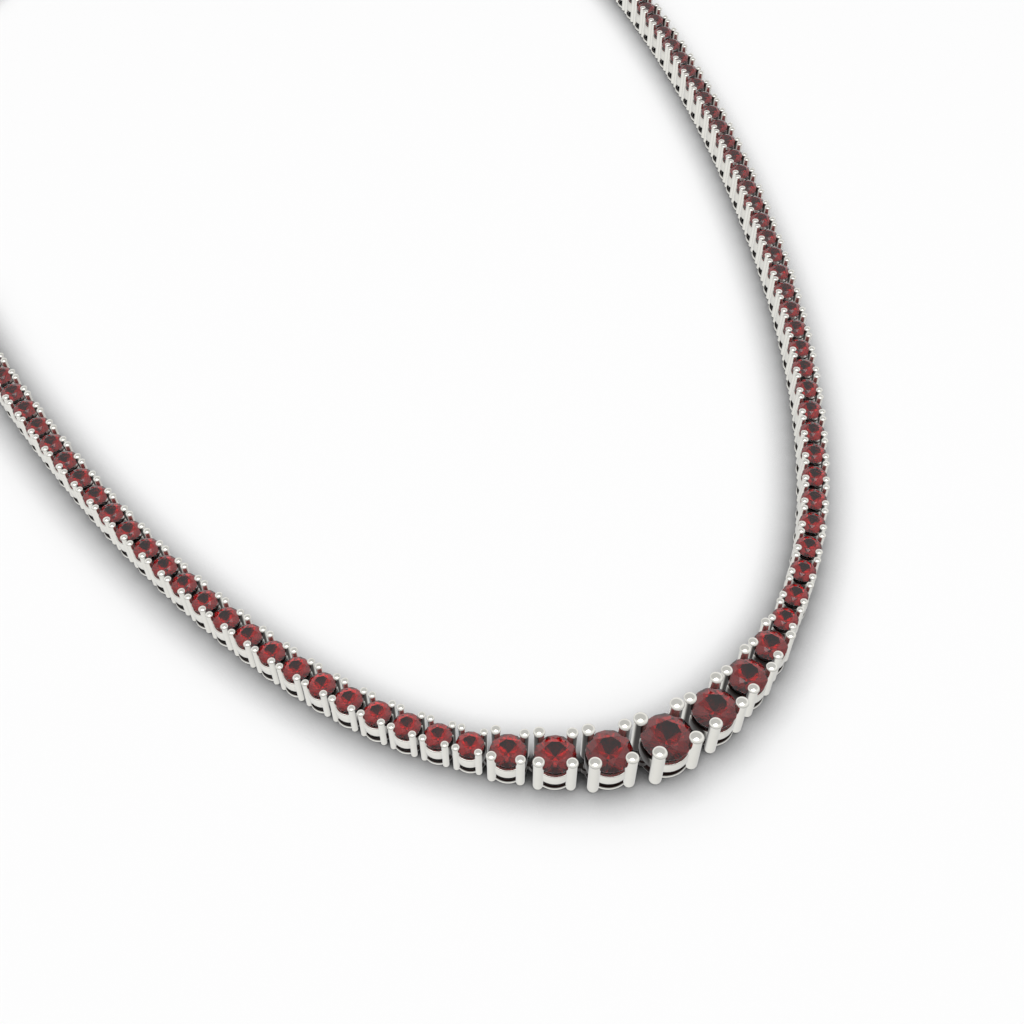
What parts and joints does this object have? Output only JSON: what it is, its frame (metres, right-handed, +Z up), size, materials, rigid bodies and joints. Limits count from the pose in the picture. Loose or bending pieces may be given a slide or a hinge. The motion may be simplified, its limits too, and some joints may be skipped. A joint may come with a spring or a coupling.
{
  "type": "ruby necklace",
  "caption": "Closed necklace of hinged prong links that lies flat, set with round faceted red stones that grow towards the front, with a plain box clasp at the back.",
  "frame": {"origin": "middle of the bounding box, on the surface that the prongs stand on", "axes": "+Z up, the way the stones face; +Y from the largest stone at the front to the clasp at the back; +X to the right of the largest stone seen from above with the clasp away"},
  "size_m": [0.1106, 0.1742, 0.0058],
  "materials": {
    "white_gold": "polished, rhodium-plated white gold",
    "ruby": "polished facets, transparent deep red"
  },
  "bodies": {
    "root": {"centre_setting": "white_gold", "right_setting_1": "white_gold", "right_setting_2": "white_gold", "right_setting_3": "white_gold", "left_setting_1": "white_gold", "left_setting_2": "white_gold", "left_setting_3": "white_gold", "right_chain_settings": "white_gold", "left_chain_settings": "white_gold", "clasp": "white_gold", "centre_stone": "ruby", "right_stone_1": "ruby", "right_stone_2": "ruby", "right_stone_3": "ruby", "left_stone_1": "ruby", "left_stone_2": "ruby", "left_stone_3": "ruby", "right_chain_stones": "ruby", "left_chain_stones": "ruby"}
  },
  "joints": []
}
